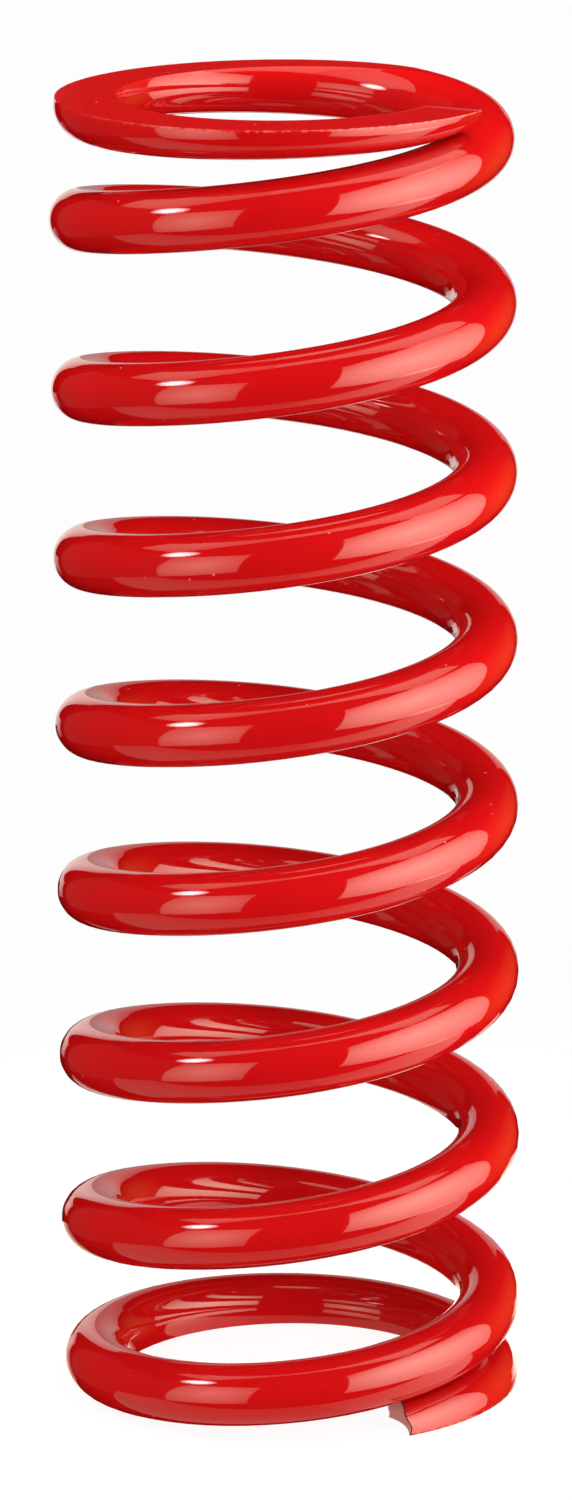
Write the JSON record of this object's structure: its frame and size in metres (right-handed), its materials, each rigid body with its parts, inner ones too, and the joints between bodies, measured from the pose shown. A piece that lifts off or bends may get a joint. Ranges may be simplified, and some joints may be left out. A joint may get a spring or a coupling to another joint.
{
  "type": "shock absorber spring",
  "caption": "Right-hand helical compression spring of round steel wire for a shock absorber, with closed, flat-ground ends, a gloss red coat and an open middle for the damper body.",
  "frame": {"origin": "on the axis of the coil, on the lower ground face", "axes": "+Z along the axis of the coil, from the lower ground face to the upper one; -Y faces the viewer in the picture, with the lower tip at the front right"},
  "size_m": [0.082, 0.082, 0.2335],
  "materials": {
    "red_powder_coat": "gloss"
  },
  "bodies": {
    "root": {"coil_spring": "red_powder_coat"}
  },
  "joints": []
}
